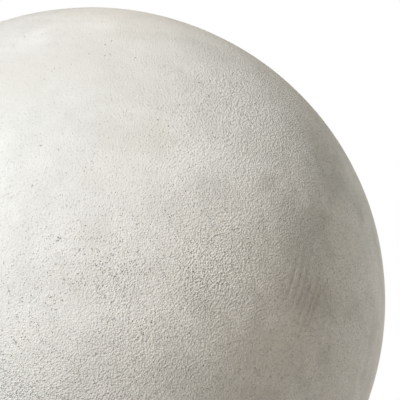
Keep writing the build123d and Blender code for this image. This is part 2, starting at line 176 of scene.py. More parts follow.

# Soft stains, and on the ball's right half painted light and shade: darker along the key light's
# terminator, lighter before it and towards the right edge. Place, angle, darkness (lighter when below
# 0), warmth (cooler when below 0).
STAINS_AND_PAINTED_SHADING = (
    (front(-0.24, 0.74), 7, 0.50, 0.8),
    (front(-0.18, 0.87), 5, -0.28, -0.1),
    (front(0.07, 0.53), 2, 0.60, 0.6),
    (front(0.22, 0.54), 6, 0.45, 0.7),
    (front(0.00, 0.78), 8, 0.25, 0.6),
    (front(0.27, 0.30), 5, 0.35, 0.2),
    (front(0.57, 0.39), 5, 0.50, -0.3),
    (front(0.42, -0.12), 5, -0.45, 0.2),
    (front(0.32, -0.21), 8, -0.20, 0.1),
    (front(0.48, -0.32), 9, 0.40, 0.1),
    (front(0.77, 0.52), 6, 0.45, 0.0),
    (front(0.00, -0.20), 22, 0.06, 0.35),
    (front(0.78, -0.18), 5, 0.70, 0.5),
    (front(0.70, 0.22), 7, 0.45, -0.4),
    (front(0.66, -0.12), 7, -0.45, 0.4),
    (front(0.78, -0.29), 5, -0.45, 0.3),
    (front(0.91, 0.36), 6, -0.50, 0.5),
    (front(0.47, 0.46), 15, -0.40, 0.0),
    (front(0.66, 0.08), 8, 0.45, 0.1),
    (front(0.66, 0.21), 3, 0.45, 0.0),
    (front(0.56, -0.12), 8, 0.25, 0.3),
    (front(0.74, 0.44), 7, 0.20, -0.2),
    (front(0.72, 0.30), 6, 0.30, 0.0),
    (front(0.46, 0.72), 9, -0.40, 0.0),
    (front(0.86, 0.16), 8, -1.10, 0.0),
    (front(0.84, -0.16), 9, -1.10, 0.0),
    (front(0.72, -0.32), 9, -0.50, 0.0),
    (front(0.40, 0.15), 7, -0.40, 0.0),
    (front(0.52, 0.60), 8, -0.45, 0.0),
    (front(-0.20, 0.72), 12, 0.30, 0.3),
    (front(0.22, 0.08), 12, -0.30, 0.0),
    (front(-0.20, 0.05), 12, -0.12, 0.0),
    (front(0.58, 0.42), 8, -0.40, 0.0),
    (front(0.53, -0.16), 9, 0.25, 0.1),
    (front(0.02, 0.62), 14, 0.18, 0.0),
    (front(-0.18, -0.33), 9, -0.35, 0.1),
    (front(0.32, -0.34), 6, 0.25, 0.2),
    (around(120, 10), 10, 0.50, 0.4),
    (around(160, 40), 12, -0.40, -0.3),
    (around(185, -10), 10, 0.55, 0.5),
    (around(230, 25), 13, 0.40, 0.7),
    (around(262, -20), 10, -0.45, 0.2),
    (around(300, 15), 11, 0.35, -0.3),
)

# Where the skin is blotchiest: place, angle, and how many times blotchier than elsewhere.
BLOTCHES = (
    (front(0.80, -0.05), 42, 2.6),
    (around(150, 40), 40, 1.8),
    (around(225, -10), 45, 2.2),
)

# Groups of trowel strokes: start, end, number, spacing in metres, depth in metres.
STROKES = (
    (front(0.738, 0.175), front(0.655, -0.080), 6, 0.0060, 0.000460),
    (front(0.905, 0.070), front(0.935, 0.010), 5, 0.0040, 0.000180),
    (front(0.470, 0.485), front(0.435, 0.320), 4, 0.0042, 0.000035),
    (front(0.880, 0.100), front(0.860, -0.120), 4, 0.0050, 0.000050),
)

# Groups of open pores: place, spread in degrees, number.
PORES = (
    (front(0.007, 0.18), 0.8, 5),
    (front(0.06, 0.145), 1.4, 7),
    (front(0.12, 0.12), 1.4, 8),
    (front(0.34, 0.11), 1.8, 12),
    (front(0.26, 0.76), 1.8, 9),
    (front(0.34, 0.62), 2.4, 12),
    (front(0.40, 0.64), 1.4, 8),
    (front(0.47, 0.72), 1.8, 12),
    (front(0.46, 0.60), 1.8, 9),
    (front(0.10, 0.25), 14.0, 12),
    (front(-0.15, -0.10), 13.0, 10),
    (front(0.30, -0.25), 12.0, 12),
)


NOISE_SLOPES = 256  # the random slopes that the noise chooses from, a power of two
NOISE_SHIFT = (50, 90)  # limits of each seed's own shift, in cells
NOISE_GAIN = 1.6  # brings the sum to about -1 to 1


def noise(points, width, seed):
    """Smooth gradient noise, about -1 to 1, with bumps about `width` metres across."""
    rng = np.random.default_rng(seed)
    order = np.tile(rng.permutation(NOISE_SLOPES), 2)
    slopes = rng.normal(size=(NOISE_SLOPES, 3)).astype(np.float32)
    slopes /= np.linalg.norm(slopes, axis=1, keepdims=True)
    scaled = (points / width + rng.uniform(*NOISE_SHIFT, 3)).astype(np.float32)
    cell = np.floor(scaled).astype(np.int64)
    part = scaled - cell
    fade = part**3 * (part * (part * 6 - 15) + 10)
    total = np.zeros(len(points), np.float32)
    for corner in itertools.product((0, 1), repeat=3):
        key = np.zeros(len(points), np.int64)
        weight = np.ones(len(points), np.float32)
        for axis in range(3):
            key = order[(key + cell[:, axis] + corner[axis]) & (NOISE_SLOPES - 1)]
            weight *= fade[:, axis] if corner[axis] else 1 - fade[:, axis]
        total += weight * np.einsum("ij,ij->i", slopes[key], part - np.array(corner, np.float32))
    return NOISE_GAIN * total


def layer(points, values):
    """One layer of noise, from its width, strength and seed."""
    width, strength, seed = values
    return strength * noise(points, width, seed)


def closeness(directions, place, angle):
    """1 at a place on the ball, falling smoothly to about a quarter `angle` degrees away."""
    cosine = np.clip(directions @ place, -1, 1)
    return np.exp(-np.arccos(cosine) ** 2 / (2 * (math.radians(angle) / PATCH_EDGE) ** 2))


def stroke_groups():
    """The chosen stroke groups, and more all round the ball in seeded random places."""
    rng = np.random.default_rng(STROKE_SEEDS[0])
    groups = list(STROKES)
    for _ in range(MORE_STROKES):
        start = unit(rng.normal(size=3))
        across = unit(np.cross(start, rng.normal(size=3)))
        end = unit(start + across * rng.uniform(*STROKE_SWEEP))
        spacing = rng.uniform(*STROKE_SPACING)
        number = int(rng.integers(*STROKE_NUMBER))
        groups.append((start, end, number, spacing, rng.uniform(*STROKE_DEPTH)))
    return groups


def one_stroke(rng, run, drift, half, spacing, rank, bend):
    """A slightly curved groove, up to 1 deep, over points given along and across its group."""
    middle = rank * spacing * rng.uniform(*STROKE_PLACE)
    shift = rng.uniform(*STROKE_SHIFT) * half
    length = half * rng.uniform(*STROKE_LENGTH)
    line = middle + bend * (run**2 / half - half / 3)
    taper = np.clip(1 - np.abs((run - shift) / length) ** 2, 0, 1)
    width = spacing * rng.uniform(*STROKE_WIDTH)
    groove = np.exp(-(((drift - line) / width) ** 2))
    return rng.uniform(*STROKE_PRESS) * taper * groove


def stroke_depths(directions):
    """How deep the trowel's edge has scored the skin at each point."""
    depth = np.zeros(len(directions))
    rng = np.random.default_rng(STROKE_SEEDS[1])
    for start, end, number, spacing, deepest in stroke_groups():
        reach = np.linalg.norm(end - start) * STROKE_REACH + number * spacing / BALL_RADIUS
        near = np.nonzero(directions @ unit(start + end) > math.cos(reach))[0]
        along = unit(end - start)
        side = unit(np.cross(start + end, along))
        offset = directions[near] - (start + end) / 2
        run = offset @ along * BALL_RADIUS
        drift = offset @ side * BALL_RADIUS
        half = np.linalg.norm(end - start) / 2 * BALL_RADIUS
        bend = rng.uniform(*STROKE_BEND)
        for index in range(number):
            rank = index - (number - 1) / 2
            depth[near] += deepest * one_stroke(rng, run, drift, half, spacing, rank, bend)
    return depth


def pore_places():
    """Directions of the open pores: the chosen groups, then seeded random groups all round."""
    rng = np.random.default_rng(PORE_SEEDS[0])
    groups = list(PORES)
    for _ in range(MORE_PORES):
        place = unit(rng.normal(size=3))
        spread = rng.uniform(*PORE_SPREAD)
        groups.append((place, spread, int(rng.integers(*PORE_NUMBER))))
    places = []
    for place, spread, number in groups:
        for _ in range(number):
            places.append(unit(place + rng.normal(size=3) * math.radians(spread) / 2))
    return np.array(places)


def wrapped_grid():
    """The directions of the skin's outer points: a band of rows round the ball, then the cap's."""
    tangent = np.tan(np.radians(np.linspace(-45, 45, SIDE + 1)))
    sides = []
    for quarter in range(4):
        turn = math.radians(90 * quarter)
        x, y = tangent[:-1], -np.ones(SIDE)
        turned_x = x * math.cos(turn) - y * math.sin(turn)
        turned_y = x * math.sin(turn) + y * math.cos(turn)
        sides.append(np.stack((turned_x, turned_y), 1))
    loop = np.concatenate(sides)
    rows = [unit(np.column_stack((loop, np.full(4 * SIDE, height)))) for height in tangent[::-1]]
    fall = (RIM_Z + ARRIS - BALL_CENTRE[2]) / BALL_RADIUS
    rim = np.column_stack((unit(loop) * math.sqrt(1 - fall**2), np.full(4 * SIDE, fall)))
    lower = rows[-1]
    for row in range(1, RIM_ROWS + 1):
        rows.append(unit(lower + (rim - lower) * row / RIM_ROWS))
    inner = tangent[1:-1]
    across, along = np.meshgrid(inner, inner)
    cap = unit(np.column_stack((across.ravel(), along.ravel(), np.ones(across.size))))
    return np.array(rows), cap


def grain_strength(directions):
    """How open and sandy the skin is, from 0 for burnished to about 1.5."""
    strength = GRAIN_USUAL + layer(directions * BALL_RADIUS, GRAIN_DRIFT)
    for place, angle, target in GRAIN_PATCHES:
        strength += (target - strength) * closeness(directions, place, angle)
    return np.clip(strength, GRAIN_LEAST, GRAIN_MOST)


def grit():
    """A random step for each outer point: mostly small, with deep voids between the sand grains."""
    rng = np.random.default_rng(GRIT_SEED)
    steps = []
    for shape in ((SIDE + 1 + RIM_ROWS, 4 * SIDE), (SIDE - 1, SIDE - 1)):
        step = GRIT_EVEN * rng.normal(size=shape) - GRIT_VOIDS * rng.exponential(size=shape)
        beside = sum(np.roll(step, way, axis) for way in (-1, 1) for axis in (0, 1))
        steps.append((step - GRIT_CONTRAST * beside).ravel())
    return np.concatenate(steps)


def skin_heights(directions, scores):
    """How far each point stands above the plain ball, before the whole is shrunk to fit."""
    points = directions * BALL_RADIUS
    grain = grain_strength(directions)
    height = np.zeros(len(directions))
    for hill in HILLS:
        height += layer(points, hill)
    height += grain * layer(points, SAND)
    return height + GRIT * grain * grit() - scores


def blotchiness(directions):
    """How blotchy the skin is, from 1 for the quietest places."""
    blotchy = np.ones(len(directions))
    for place, angle, times in BLOTCHES:
        blotchy += (times - 1) * closeness(directions, place, angle)
    return blotchy


def stains_and_painted_shading(directions, blotchy):
    """The darkness and the warmth of the skin's stains at each point; the darkness also holds painted
    light and shade near the terminator.
    """
    points = directions * BALL_RADIUS
    fine = sum(layer(points, values) for values in FINE_DARK)
    clouds = np.clip(sum(layer(points, values) for values in CLOUDS), -1, 1)
    cloudiness = CLOUD_BLOTCHY * blotchy + CLOUD_QUIET
    dark = layer(points, BROAD_DARK) + blotchy * fine + cloudiness * clouds
    warm = layer(points, BROAD_WARM) + blotchy * layer(points, FINE_WARM)
    edge = 1 + layer(points, RAGGED_EDGE)
    # Some of these patches are painted light and shade near the terminator, the rest are stains.
    for place, angle, darkness, warmth in STAINS_AND_PAINTED_SHADING:
        ragged = closeness(directions, place, angle) * edge
        dark += darkness * ragged
        warm += warmth * ragged
    return dark, warm


def grid_quads(index, chart):
    """Quads over a grid of point numbers, and the texture place of each of their corners."""

    def corners(grid):
        return np.stack((grid[:-1, :-1], grid[1:, :-1], grid[1:, 1:], grid[:-1, 1:]), 2)

    quads = corners(index).reshape(-1, 4)
    places = np.stack((corners(chart[..., 0]), corners(chart[..., 1])), 3).reshape(-1, 4, 2)
    return quads, places


def chart_cell(number, across, down):
    """Texture places in one cell of the sheet, from how far across and down the cell's face."""
    left = (number % 3 + 0.5) * CELL[0] - CHART / 2
    top = CHART_TOP - (number // 3) * CELL[1]
    return np.stack((left + CHART * across, top - CHART * down), -1)


def rim_points(last):
    """Points of the flat rim, under the band's last row: two rows for the worn corner, then the
    row where the casting's own rim begins."""
    ring = unit(last[:, :2])
    reach = np.linalg.norm(last[:, :2], axis=1)
    land = math.sqrt(CAST_RADIUS**2 - (BALL_CENTRE[2] - RIM_Z) ** 2)
    rows = []
    for inward, up in WORN_CORNER:
        flat = ring * (reach - inward * ARRIS)[:, None]
        rows.append(np.column_stack((flat, np.full(len(last), RIM_Z + up * ARRIS))))
    rows.append(np.column_stack((ring * land, np.full(len(last), RIM_Z))))
    return np.concatenate(rows)


def point_numbers(row_count, column_count):
    """The band's grid of point numbers, rim included, and the cap's, whose edge is the band's top."""
    band = np.arange(row_count * column_count).reshape(row_count, column_count)
    first_cap = row_count * column_count
    first_rim = first_cap + (SIDE - 1) ** 2
    cap = np.empty((SIDE + 1, SIDE + 1), int)
    cap[1:-1, 1:-1] = np.arange(first_cap, first_rim).reshape(SIDE - 1, SIDE - 1)
    edges = band[0].reshape(4, SIDE)
    cap[0, :-1] = edges[0]
    cap[:-1, -1] = edges[1]
    cap[-1, :0:-1] = edges[2]
    cap[:0:-1, 0] = edges[3]
    rim_rows = len(WORN_CORNER) + 1
    rim = first_rim + np.arange(rim_rows * column_count).reshape(rim_rows, column_count)
    return np.concatenate((band, rim)), cap


def outer_quads(band, cap):
    """Quads of the band, rim and cap, and their texture places."""
    step = np.linspace(0, 1, SIDE + 1)
    fall = np.concatenate((step, 1 + np.arange(1, RIM_ROWS + 1) / SIDE))
    fall = np.concatenate((fall, fall[-1] + np.array(RIM_FALL) / SIDE))
    parts = []
    for quarter in range(4):
        columns = np.arange(quarter * SIDE, (quarter + 1) * SIDE + 1) % band.shape[1]
        parts.append(grid_quads(band[:, columns], chart_cell(quarter, *np.meshgrid(step, fall))))
    parts.append(grid_quads(cap[::-1], chart_cell(4, *np.meshgrid(step, step))))
    quads, places = zip(*parts)
    return np.concatenate(quads), np.concatenate(places)


def pored_quads(points, quads, pores):
    """Numbers of the quads nearest the pores, less those too close to one already chosen."""
    middles = unit(points[quads].mean(1) - BALL_CENTRE)
    too_close = math.cos(PORE_GAP / BALL_RADIUS)
    chosen = []
    for pore in pores:
        nearest = int(np.argmax(middles @ pore))
        if not chosen or (middles[chosen] @ middles[nearest]).max() < too_close:
            chosen.append(nearest)
    return chosen


def wall_quads(outer, inner):
    """The four quads that join the sides of each outer quad to its inner one."""
    walls = []
    for side in range(4):
        after = (side + 1) % 4
        walls.append(np.stack((outer[:, side], outer[:, after], inner[:, after], inner[:, side]), 1))
    return walls


def open_pores(points, quads, places, pores):
    """Sinks a small square-walled hole into the middle of the quad nearest each pore, and paints shade
    in and round each hole.
    """
    rng = np.random.default_rng(PORE_SEEDS[1])
    chosen = pored_quads(points, quads, pores)
    corners, corner_places = points[quads[chosen]], places[chosen]
    middle, middle_place = corners.mean(1, keepdims=True), corner_places.mean(1, keepdims=True)
    mouth = rng.uniform(*PORE_MOUTH, (len(chosen), 1, 1))
    depth = rng.uniform(*PORE_DEPTH, (len(chosen), 1, 1))
    lip = middle + (corners - middle) * mouth
    floor = middle + (corners - middle) * mouth * PORE_FLOOR + unit(BALL_CENTRE - middle) * depth
    lip_place = middle_place + (corner_places - middle_place) * mouth
    floor_place = middle_place + (corner_places - middle_place) * mouth * PORE_FLOOR
    first = len(points)
    lip_quads = first + np.arange(4 * len(chosen)).reshape(-1, 4)
    floor_quads = lip_quads + 4 * len(chosen)
    shadow = np.zeros(first + 8 * len(chosen))
    shadow[quads[chosen]] = PORE_LIP_SHADE
    shadow[first:] = 1.0
    walls = wall_quads(quads[chosen], lip_quads) + wall_quads(lip_quads, floor_quads)
    wall_places = wall_quads(corner_places, lip_place) + wall_quads(lip_place, floor_place)
    kept = np.ones(len(quads), bool)
    kept[chosen] = False
    points = np.concatenate((points, lip.reshape(-1, 3), floor.reshape(-1, 3)))
    quads = np.concatenate([quads[kept], floor_quads] + walls)
    places = np.concatenate([places[kept], floor_place] + wall_places)
    return points, quads, places, shadow


def inner_ring(polar, count):
    """Points of one ring of the inner face, and their texture places."""
    turn = np.arange(count) * 2 * math.pi / count + FIRST_COLUMN
    circle = np.column_stack((np.cos(turn), np.sin(turn)))
    directions = np.column_stack((circle * math.sin(polar), np.full(count, math.cos(polar))))
    middle = chart_cell(5, np.array(0.5), np.array(0.5))
    return BALL_CENTRE + directions * CAST_RADIUS, middle + INNER_DISC * polar / math.pi * circle


def ring_triangles(low, high, stride):
    """Triangles between a ring and the next, which has a point for each `stride` of the first's."""
    start, middle = low[::stride], np.roll(low, -1, 0)[::stride]
    after = np.roll(high, -1, 0)
    groups = [np.stack((start, high, middle), 1), np.stack((middle, high, after), 1)]
    if stride == 2:
        groups.append(np.stack((middle, after, np.roll(low, -2, 0)[::stride]), 1))
    return groups


def inner_face(ring, first):
    """The plain inner face from the rim up to the pole: points, triangles and texture places."""
    rim_polar = math.acos((RIM_Z - BALL_CENTRE[2]) / CAST_RADIUS)
    ring_places = inner_ring(rim_polar, len(ring))[1]
    points, triangles, places = [], [], []
    for row in range(1, INNER_ROWS):
        stride = 2 if len(ring) > COARSE else 1
        new_points, new_places = inner_ring(rim_polar * (1 - row / INNER_ROWS), len(ring) // stride)
        new_ring = first + np.arange(len(new_points))
        triangles += ring_triangles(ring, new_ring, stride)
        places += ring_triangles(ring_places, new_places, stride)
        points.append(new_points)
        ring, ring_places, first = new_ring, new_places, first + len(new_points)
    pole, pole_place = inner_ring(0.0, 1)
    points.append(pole)
    to_pole = np.full(len(ring), first)
    triangles.append(np.stack((ring, to_pole, np.roll(ring, -1)), 1))
    pole_places = np.broadcast_to(pole_place, ring_places.shape)
    places.append(np.stack((ring_places, pole_places, np.roll(ring_places, -1, 0)), 1))
    return np.concatenate(points), np.concatenate(triangles), np.concatenate(places)


def skin_mesh():
    """The whole skin: outer face, worn corner, flat rim and a plain inner face, one closed mesh."""
    rows, cap = wrapped_grid()
    row_count, column_count = rows.shape[:2]
    directions = np.concatenate((rows.reshape(-1, 3), cap))
    scores = stroke_depths(directions)
    heights = skin_heights(directions, scores)
    heights -= heights.max() + MARGIN
    outer = BALL_CENTRE + directions * (BALL_RADIUS + heights)[:, None]
    rim = rim_points(outer[(row_count - 1) * column_count : row_count * column_count])
    band, cap_numbers = point_numbers(row_count, column_count)
    quads, places = outer_quads(band, cap_numbers)
    points = np.concatenate((outer, rim))
    points, quads, places, shadow = open_pores(points, quads, places, pore_places())
    inner_points, triangles, triangle_places = inner_face(band[-1], len(points))
    points = np.concatenate((points, inner_points))
    shadow = np.concatenate((shadow, np.zeros(len(inner_points))))
    scored = np.zeros(len(points))
    scored[: len(outer)] = scores / DEEP_SCORE
    return points, (quads, triangles), (places, triangle_places), shadow, scored


def mesh_object(name, points, polygons, places):
    """A mesh object from arrays: polygons and places are lists of (count, corners) arrays."""
    mesh = bpy.data.meshes.new(name)
    mesh.vertices.add(len(points))
    mesh.vertices.foreach_set("co", np.asarray(points, np.float32).ravel())
    corners = np.concatenate([group.ravel() for group in polygons]).astype(np.int32)
    sizes = np.concatenate([np.full(len(group), group.shape[1]) for group in polygons])
    starts = np.concatenate(((0,), np.cumsum(sizes)[:-1])).astype(np.int32)
    mesh.loops.add(len(corners))
    mesh.loops.foreach_set("vertex_index", corners)
    mesh.polygons.add(len(sizes))
    mesh.polygons.foreach_set("loop_start", starts)
    mesh.update(calc_edges=True)
    chart = mesh.uv_layers.new(name="OFBake")
    flat = np.concatenate([group.reshape(-1, 2) for group in places]).astype(np.float32)
    chart.data.foreach_set("uv", flat.ravel())
    mesh.validate()
    mesh.shade_smooth()
    made = bpy.data.objects.new(name, mesh)
    bpy.context.scene.collection.objects.link(made)
    return made


def point_values(obj, name, values):
    """Stores one number per point, for the material to read."""
    layer = obj.data.attributes.new(name, "FLOAT", "POINT")
    layer.data.foreach_set("value", np.asarray(values, np.float32))


def make_skin():
    """The trowelled skin, which stands for the CAD skim coat and rides on the ball."""
    points, polygons, places, shadow, scored = skin_mesh()
    skin = mesh_object("trowelled_skin", points, polygons, places)
    directions = unit(points - BALL_CENTRE)
    blotchy = blotchiness(directions)
    dark, warm = stains_and_painted_shading(directions, blotchy)
    point_values(skin, "grain", grain_strength(directions))
    point_values(skin, "blotchy", blotchy)
    point_values(skin, "pore", shadow)
    point_values(skin, "scored", scored)
    point_values(skin, "darkness_and_painted_shading", dark)
    point_values(skin, "stain_warm", warm)
    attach(skin, "ball")
    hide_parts("skim_coat")
    return skin


# ---------------------------------------------------------------- materials
class Recipe:
    """A material's node tree, with short calls for adding and joining nodes."""

    def __init__(self, name):
        self.material = bpy.data.materials.new(name)
        self.material.use_nodes = True
        self.tree = self.material.node_tree
        self.shader = self.tree.nodes["Principled BSDF"]

    def set(self, **values):
        """Plain numbers on the shader's own sockets."""
        for name, value in values.items():
            socket = self.shader.inputs[name.replace("_", " ")]
            socket.default_value = (*value, 1) if isinstance(value, tuple) else value

    def join(self, source, target):
        """Links a socket to a socket, or sets a plain value."""
        if isinstance(source, bpy.types.NodeSocket):
            self.tree.links.new(source, target)
        else:
            target.default_value = (*source, 1) if isinstance(source, tuple) else source

    def node(self, kind, **settings):
        """A new node with some of its settings."""
        made = self.tree.nodes.new(kind)
        for name, value in settings.items():
            setattr(made, name, value)
        return made

    def place(self):
        """The object's own coordinates, in metres."""
        return self.node("ShaderNodeTexCoord").outputs["Object"]

    def value(self, name):
        """One of the skin's stored numbers."""
        return self.node("ShaderNodeAttribute", attribute_name=name).outputs["Fac"]

    def cloud(self, width, detail=2.0, rough=0.5):
        """Noise from 0 to 1 with features about `width` metres across."""
        made = self.node("ShaderNodeTexNoise")
        self.join(self.place(), made.inputs["Vector"])
        self.join(1 / width, made.inputs["Scale"])
        self.join(detail, made.inputs["Detail"])
        self.join(rough, made.inputs["Roughness"])
        return made.outputs["Fac"]

    def cells(self, spacing, seed):
        """A texture of scattered points, about `spacing` metres apart."""
        made = self.node("ShaderNodeTexVoronoi")
        shift = self.node("ShaderNodeVectorMath", operation="ADD")
        self.join(self.place(), shift.inputs[0])
        shift.inputs[1].default_value = (seed, seed, seed)
        self.join(shift.outputs[0], made.inputs["Vector"])
        self.join(1 / spacing, made.inputs["Scale"])
        return made

    def dots(self, spacing, seed=0.0):
        """Distance to the nearest of many scattered points, 0 at each point."""
        return self.cells(spacing, seed).outputs["Distance"]

    def pits(self, spacing, size, strongest, seed):
        """Scattered round pits of uneven strength: 1 in the middle of the strongest, 0 outside."""
        made = self.cells(spacing, seed)
        own = self.span(made.outputs["Color"], *strongest)
        return self.math("MULTIPLY", own, self.span(made.outputs["Distance"], size * 0.35, size, 1, 0))

    def span(self, source, low, high, to_low=0.0, to_high=1.0):
        """Maps low..high to to_low..to_high, smoothly and clamped."""
        made = self.node("ShaderNodeMapRange", interpolation_type="SMOOTHSTEP")
        names = ("Value", "From Min", "From Max", "To Min", "To Max")
        for name, number in zip(names, (source, low, high, to_low, to_high)):
            self.join(number, made.inputs[name])
        return made.outputs["Result"]

    def math(self, operation, first, second):
        """One sum on two numbers or sockets."""
        made = self.node("ShaderNodeMath", operation=operation)
        self.join(first, made.inputs[0])
        self.join(second, made.inputs[1])
        return made.outputs[0]

    def mix(self, share, first, second):
        """A colour between two colours."""
        made = self.node("ShaderNodeMix", data_type="RGBA")
        self.join(share, made.inputs["Factor"])
        self.join(first, made.inputs["A"])
        self.join(second, made.inputs["B"])
        return made.outputs["Result"]

    def bump(self, height, distance):
        """Relief in the surface: height 0 to 1 stands for `distance` metres."""
        made = self.node("ShaderNodeBump")
        self.join(height, made.inputs["Height"])
        self.join(distance, made.inputs["Distance"])
        return made.outputs["Normal"]

    def finish(self, colour, roughness, normal=None):
        """Joins the three results to the shader."""
        self.join(colour, self.shader.inputs["Base Color"])
        self.join(roughness, self.shader.inputs["Roughness"])
        if normal:
            self.join(normal, self.shader.inputs["Normal"])
        return self.material


# The plaster's colours, and how far apart the points of its textures are.
PALE, SHADED = (0.80, 0.785, 0.749), (0.57, 0.558, 0.524)
WARM, DUSTY = (0.745, 0.70, 0.625), (0.50, 0.490, 0.458)
# Painted shade for the sand's pits, then the darker tone of the trowel scores.
PIT_SHADE, SCORE = (0.24, 0.23, 0.20), (0.34, 0.32, 0.285)
# Painted shade inside the pores, then inside the larger holes.
PORE_SHADE, HOLE_SHADE = (0.18, 0.17, 0.15), (0.16, 0.15, 0.13)
SAND_SPACING, PIT_SPACING, DUST_SPACING, HOLE_SPACING = 0.0017, 0.0018, 0.0010, 0.0085
PATCH_WIDTH, RELIEF_DEPTH = 0.030, 0.00055


def plaster_relief(r, grain, pits, holes):
    """The plaster's sandy relief, less its pits and the few larger holes."""
    sand = r.dots(SAND_SPACING, 7.0)
    relief = r.math("SUBTRACT", sand, r.math("MULTIPLY", pits, 1.1))
    relief = r.math("MULTIPLY", relief, grain)
    return r.bump(r.math("SUBTRACT", relief, r.math("MULTIPLY", holes, 0.7)), RELIEF_DEPTH)


def plaster_stains_and_painted_shading(r, blotchy):
    """The plaster's broad colour: pale and shaded patches, some of them painted light and shade and
    some warm, and fine dust.
    """
    patches = r.span(r.cloud(PATCH_WIDTH, 6, 0.62), 0.485, 0.525, -0.5, 0.5)
    patchy = r.math("MULTIPLY", patches, r.span(blotchy, 1.0, 2.6, 0.08, 0.50))
    # This darkness holds stains and painted light and shade.
    dark = r.math("ADD", r.value("darkness_and_painted_shading"), patchy)
    colour = r.mix(r.span(dark, -0.8, 0.8), PALE, SHADED)
    warm = r.span(r.value("stain_warm"), -0.9, 0.9, 0.0, 0.6)
    colour = r.mix(warm, colour, WARM)
    dust = r.pits(DUST_SPACING, 0.80, (0.2, 0.8), 5.0)
    speckle = r.math("MULTIPLY", dust, r.span(blotchy, 1.0, 2.6, 0.12, 0.80))
    return r.mix(speckle, colour, DUSTY)


def skim_plaster(name):
    """Fine warm white stone plaster: sandy where open, satin where the trowel closed it."""
    r = Recipe(name)
    grain = r.value("grain")
    pits = r.pits(PIT_SPACING, 0.38, (0.30, 0.72), 3.0)
    # The pits of open sand are painted dark, as shade inside them.
    pit_shade_mask = r.math("MULTIPLY", pits, r.span(grain, 0.7, 1.6, 0.12, 1.0))
    scattered = r.span(r.dots(HOLE_SPACING), 0.055, 0.10, 1, 0)
    holes = r.math("MULTIPLY", scattered, r.span(r.cloud(0.045), 0.50, 0.62))
    colour = plaster_stains_and_painted_shading(r, r.value("blotchy"))
    colour = r.mix(r.math("MULTIPLY", pit_shade_mask, 0.55), colour, PIT_SHADE)
    # Trowel scores are darker the deeper they are.
    colour = r.mix(r.span(r.value("scored"), 0.1, 1.0, 0.0, 0.22), colour, SCORE)
    # Painted shade inside the pores and round their mouths.
    colour = r.mix(r.math("MULTIPLY", r.value("pore"), 0.45), colour, PORE_SHADE)
    # The larger holes are painted dark, as shade inside them.
    colour = r.mix(r.math("MULTIPLY", holes, 0.75), colour, HOLE_SHADE)
    r.set(Specular_IOR_Level=0.35)
    rough = r.span(grain, 0.1, 1.2, 0.62, 0.90)
    return r.finish(colour, rough, plaster_relief(r, grain, pits, holes))


def cast_stone(name):
    """As-cast stone, with fine aggregate and the small round holes that air leaves at the mould,
    painted dark inside as shade.
    """
    r = Recipe(name)
    clouds, grit = r.cloud(0.030, 4), r.cloud(0.0011, 2)
    scattered = r.span(r.dots(0.012), 0.06, 0.14, 1, 0)
    bubbles = r.math("MULTIPLY", scattered, r.span(r.cloud(0.02), 0.45, 0.6))
    specks = r.span(r.dots(0.0034, 3.0), 0.10, 0.24, 1, 0)
    colour = r.mix(r.span(clouds, 0.3, 0.7), (0.50, 0.475, 0.43), (0.64, 0.61, 0.56))
    colour = r.mix(r.math("MULTIPLY", specks, 0.35), colour, (0.27, 0.25, 0.22))
    # Painted shade inside the air holes.
    colour = r.mix(r.math("MULTIPLY", bubbles, 0.7), colour, (0.13, 0.12, 0.11))
    relief = r.math("SUBTRACT", grit, r.math("MULTIPLY", bubbles, 1.5))
    r.set(Specular_IOR_Level=0.3)
    return r.finish(colour, r.span(grit, 0.3, 0.7, 0.78, 0.94), r.bump(relief, 0.0003))


def mortar(name):
    """Grey bedding mortar with coarse sand in it."""
    r = Recipe(name)
    sand = r.cloud(0.0014, 3, 0.65)
    colour = r.mix(r.span(sand, 0.35, 0.65), (0.36, 0.345, 0.32), (0.55, 0.53, 0.49))
    return r.finish(colour, 0.92, r.bump(sand, 0.0005))


WAVE_TURN = 20  # radians that the wave texture turns through in one unit, at a scale of 1


def turned_rings(r, width):
    """Fine rings round the lantern's axis, as a lathe leaves them, `width` for each radian."""
    rings = r.node("ShaderNodeTexWave", wave_type="RINGS", rings_direction="Z")
    r.join(r.place(), rings.inputs["Vector"])
    r.join(1 / (WAVE_TURN * width), rings.inputs["Scale"])
    r.join(6.0, rings.inputs["Distortion"])
    r.join(2.0, rings.inputs["Detail"])
    r.join(0.3, rings.inputs["Detail Scale"])
    return rings.outputs["Fac"]


def turned_metal(name, light, shade, roughness, width):
    """Bare metal with faint turning rings and a little handling haze."""
    r = Recipe(name)
    rings, haze = turned_rings(r, width), r.cloud(0.02, 4)
    r.set(Metallic=1.0)
    colour = r.mix(r.span(haze, 0.3, 0.7), shade, light)
    ringed = r.span(rings, 0, 1, roughness - 0.05, roughness + 0.05)
    rough = r.math("ADD", ringed, r.span(haze, 0.4, 0.8, 0, 0.1))
    return r.finish(colour, rough, r.bump(rings, 0.00002))


def powder_coat(name):
    """Dark grey fine-textured powder coat, with pale dust that settles in the low places."""
    r = Recipe(name)
    texture, dust = r.cloud(0.0009, 2, 0.6), r.cloud(0.035, 5, 0.6)
    colour = r.mix(r.span(texture, 0.35, 0.7), (0.050, 0.050, 0.053), (0.088, 0.088, 0.092))
    colour = r.mix(r.span(dust, 0.52, 0.80, 0, 0.35), colour, (0.24, 0.23, 0.21))
    rough = r.span(dust, 0.3, 0.7, 0.50, 0.72)
    return r.finish(colour, rough, r.bump(texture, 0.00012))


def rubber(name, tone):
    """Matt rubber with a faint bloom."""
    r = Recipe(name)
    bloom, skin = r.cloud(0.008, 4), r.cloud(0.0006, 1)
    pale = tuple(1.7 * part + 0.01 for part in tone)
    r.set(Specular_IOR_Level=0.35)
    colour = r.mix(r.span(bloom, 0.35, 0.75), tone, pale)
    return r.finish(colour, r.span(bloom, 0.3, 0.7, 0.72, 0.88), r.bump(skin, 0.00006))


